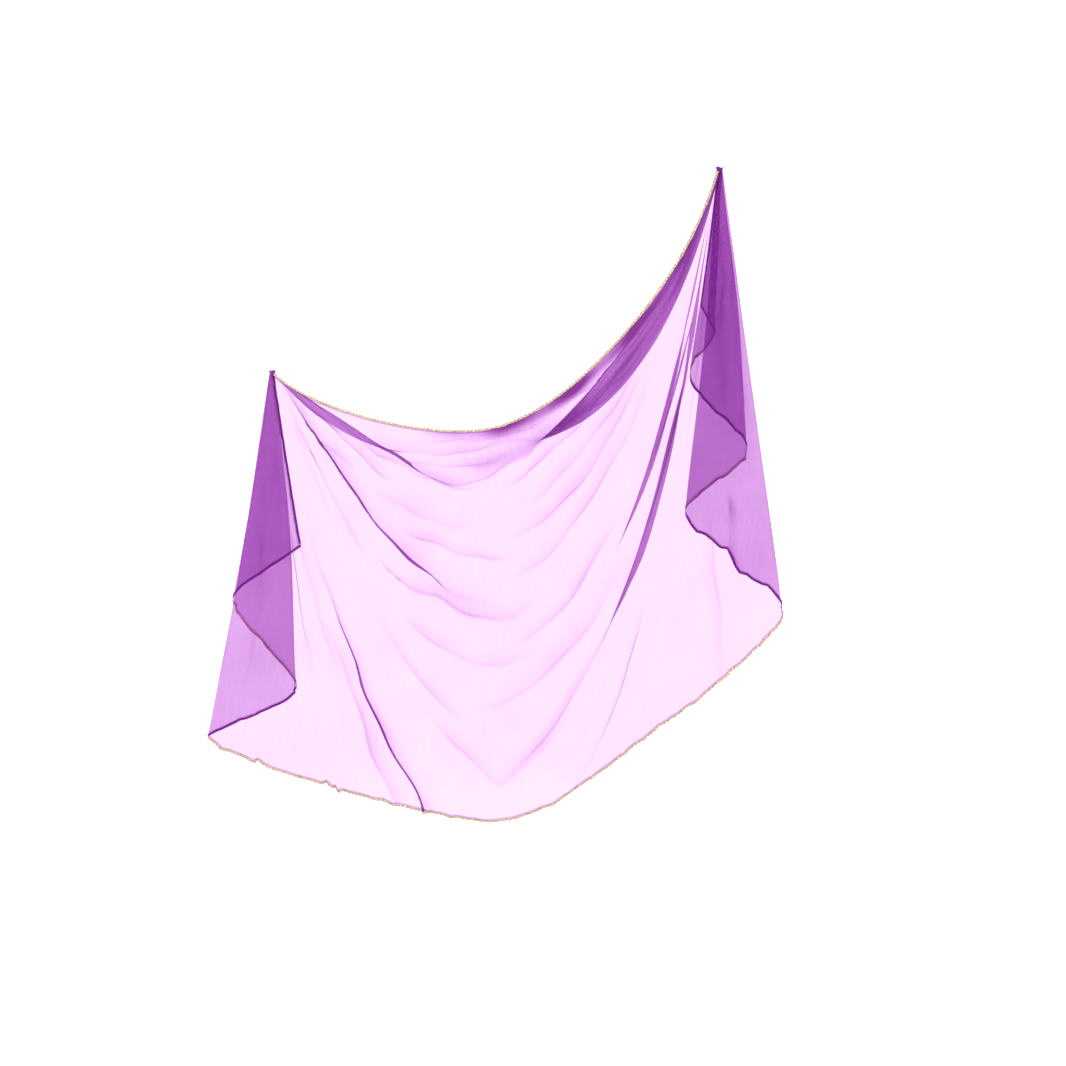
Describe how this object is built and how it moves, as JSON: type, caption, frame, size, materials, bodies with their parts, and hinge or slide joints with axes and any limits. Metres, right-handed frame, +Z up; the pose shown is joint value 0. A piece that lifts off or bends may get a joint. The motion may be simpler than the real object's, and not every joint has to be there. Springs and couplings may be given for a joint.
{
  "type": "belly dance veil",
  "caption": "Sheer purple half-circle veil with gold trim, held out by two points of its straight edge, with folded tails.",
  "frame": {"origin": "the right-hand grip, where the straight edge is pinched", "axes": "+Z up, +X from the left grip towards the right grip, -Y out of the face that carries the gold trim"},
  "size_m": [1.4746, 0.3989, 1.6555],
  "materials": {
    "chiffon": "sheer, soft sheen",
    "gold_trim": "metallic braid"
  },
  "bodies": {
    "root": {"veil_centre": "chiffon", "veil_left_tail": "chiffon", "veil_right_tail": "chiffon", "edge_trim_centre": "gold_trim", "edge_trim_left_end": "gold_trim", "edge_trim_right_end": "gold_trim", "hem_trim_centre": "gold_trim", "hem_trim_left_tail": "gold_trim", "hem_trim_right_tail": "gold_trim"}
  },
  "joints": []
}
